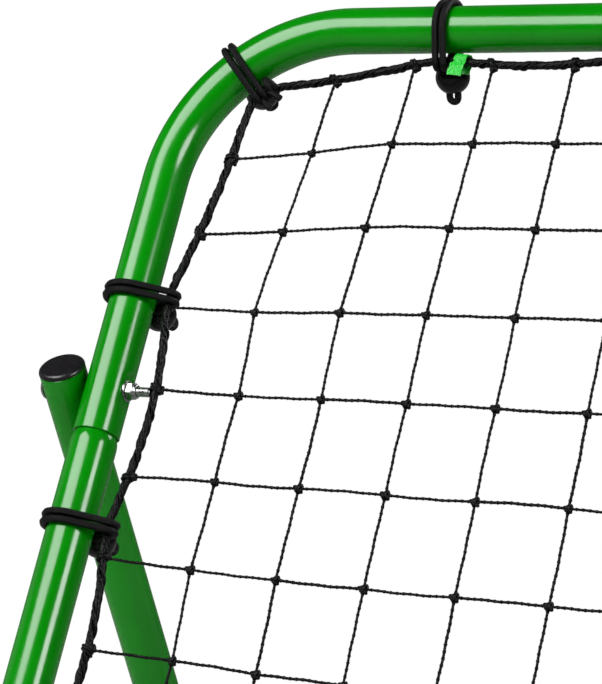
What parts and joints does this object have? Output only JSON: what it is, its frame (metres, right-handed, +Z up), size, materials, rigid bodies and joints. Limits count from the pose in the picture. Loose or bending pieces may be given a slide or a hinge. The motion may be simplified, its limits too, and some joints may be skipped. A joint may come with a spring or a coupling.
{
  "type": "ball rebounder",
  "caption": "Leaning square tube frame with a knotted net hung inside it on elastic ball ties, propped by a folding U-shaped rear stand on pivot bolts.",
  "frame": {"origin": "on the ground at the middle of the footprint: the middle of the bounding box's underside", "axes": "+Z up; -Y towards the player, the way the net faces; +X to the player's right, along the rails and the pivot bolts"},
  "size_m": [0.9376, 0.4875, 0.7524],
  "materials": {
    "green_paint": "gloss powder coat",
    "zinc": "bright zinc plate",
    "black_plastic": "moulded gloss",
    "elastic": "woven sheath",
    "net": "twisted twine",
    "green_tape": "matt tape"
  },
  "bodies": {
    "net_frame": {"upper_frame_tube": "green_paint", "lower_frame_tube": "green_paint", "net_border_rope": "net", "net_mesh": "net", "net_marker_tape": "green_tape", "tie_cord_01": "elastic", "tie_ball_01": "black_plastic", "tie_cord_02": "elastic", "tie_ball_02": "black_plastic", "tie_cord_03": "elastic", "tie_ball_03": "black_plastic", "tie_cord_04": "elastic", "tie_ball_04": "black_plastic", "tie_cord_05": "elastic", "tie_ball_05": "black_plastic", "tie_cord_06": "elastic", "tie_ball_06": "black_plastic", "tie_cord_07": "elastic", "tie_ball_07": "black_plastic", "tie_cord_08": "elastic", "tie_ball_08": "black_plastic", "tie_cord_09": "elastic", "tie_ball_09": "black_plastic", "tie_cord_10": "elastic", "tie_ball_10": "black_plastic", "tie_cord_11": "elastic", "tie_ball_11": "black_plastic", "tie_cord_12": "elastic", "tie_ball_12": "black_plastic", "tie_cord_13": "elastic", "tie_ball_13": "black_plastic", "tie_cord_14": "elastic", "tie_ball_14": "black_plastic", "tie_cord_15": "elastic", "tie_ball_15": "black_plastic", "tie_cord_16": "elastic", "tie_ball_16": "black_plastic"},
    "rear_stand": {"rear_stand_tube": "green_paint", "stand_end_cap_left": "black_plastic", "pivot_bolt_left": "zinc", "pivot_washer_left": "zinc", "pivot_nut_left": "zinc", "stand_end_cap_right": "black_plastic", "pivot_bolt_right": "zinc", "pivot_washer_right": "zinc", "pivot_nut_right": "zinc"}
  },
  "joints": [
    {"name": "stand_fold", "type": "hinge", "parent": "net_frame", "child": "rear_stand", "pos_m": [0, 0.01072, 0.439], "axis": [1, 0, 0], "range_deg": [-44, 34]}
  ]
}
